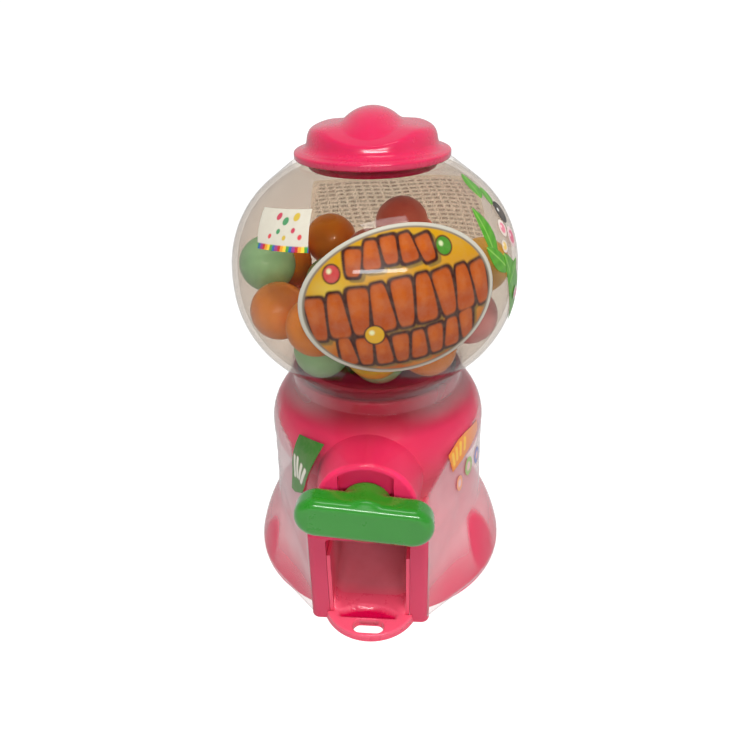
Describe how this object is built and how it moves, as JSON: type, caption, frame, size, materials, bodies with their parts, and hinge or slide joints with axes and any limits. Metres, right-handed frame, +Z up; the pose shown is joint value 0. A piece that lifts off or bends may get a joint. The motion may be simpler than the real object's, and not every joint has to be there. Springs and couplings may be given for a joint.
{
  "type": "gumball machine",
  "caption": "Miniature gumball machine: clear globe of candy balls with a lift-off lid on an hourglass base with a turn handle, ball drum, chute and hang-tab lip, in a clear printed sleeve.",
  "frame": {"origin": "centre of the flat underside, on the globe's upright axis", "axes": "+Z up the globe's axis towards the lid, -Y out of the chute and the handle, +X to the right of someone looking along +Y at the front"},
  "size_m": [0.0715, 0.0796, 0.1224],
  "materials": {
    "lid_pink": "glossy moulded plastic",
    "shell_pink": "glossy moulded plastic",
    "lip_pink": "glossy moulded plastic",
    "inner_pink": "moulded plastic",
    "globe_clear": "clear moulded plastic",
    "film_clear": "clear shrink film",
    "handle_green": "glossy moulded plastic",
    "steel": "zinc plated",
    "gum_green": "candy shell",
    "gum_orange": "candy shell",
    "gum_red": "candy shell",
    "gum_pink": "candy shell",
    "gum_yellow": "candy shell",
    "print_white": "printed ink",
    "print_grey": "printed ink",
    "print_warm": "printed ink",
    "print_green": "printed ink",
    "print_colours": "printed ink"
  },
  "bodies": {
    "root": {"globe": "globe_clear", "shrink_sleeve": "film_clear", "housing": "shell_pink", "hopper": "inner_pink", "rear_bearing_post": "inner_pink", "ball_chute": "shell_pink", "base_plate": "lip_pink", "base_screws": "steel", "gumball_01": "gum_orange", "gumball_02": "gum_orange", "gumball_03": "gum_green", "gumball_04": "gum_orange", "gumball_05": "gum_green", "gumball_06": "gum_yellow", "gumball_07": "gum_green", "gumball_08": "gum_red", "gumball_09": "gum_yellow", "gumball_10": "gum_pink", "gumball_11": "gum_pink", "gumball_12": "gum_red", "gumball_13": "gum_red", "gumball_14": "gum_green", "gumball_15": "gum_orange", "gumball_16": "gum_orange", "gumball_17": "gum_orange", "gumball_18": "gum_red", "gumball_19": "gum_pink", "gumball_20": "gum_yellow", "gumball_21": "gum_green", "gumball_22": "gum_pink", "gumball_23": "gum_yellow", "gumball_24": "gum_orange", "gumball_25": "gum_red", "gumball_26": "gum_orange", "gumball_27": "gum_red", "gumball_28": "gum_yellow", "gumball_29": "gum_orange", "gumball_30": "gum_green", "gumball_31": "gum_orange", "gumball_32": "gum_red", "gumball_33": "gum_orange"},
    "lid": {"lid": "lid_pink"},
    "handle": {"turn_handle": "handle_green", "dispensing_drum": "inner_pink", "drive_pin": "steel"}
  },
  "joints": [
    {"name": "handle_spin", "type": "hinge", "parent": "root", "child": "handle", "pos_m": [0, 0, 0.0383], "axis": [0, 1, 0], "continuous": true},
    {"name": "lid_lift", "type": "slide", "parent": "root", "child": "lid", "axis": [0, 0, 1], "range_m": [0, 0.03]}
  ]
}
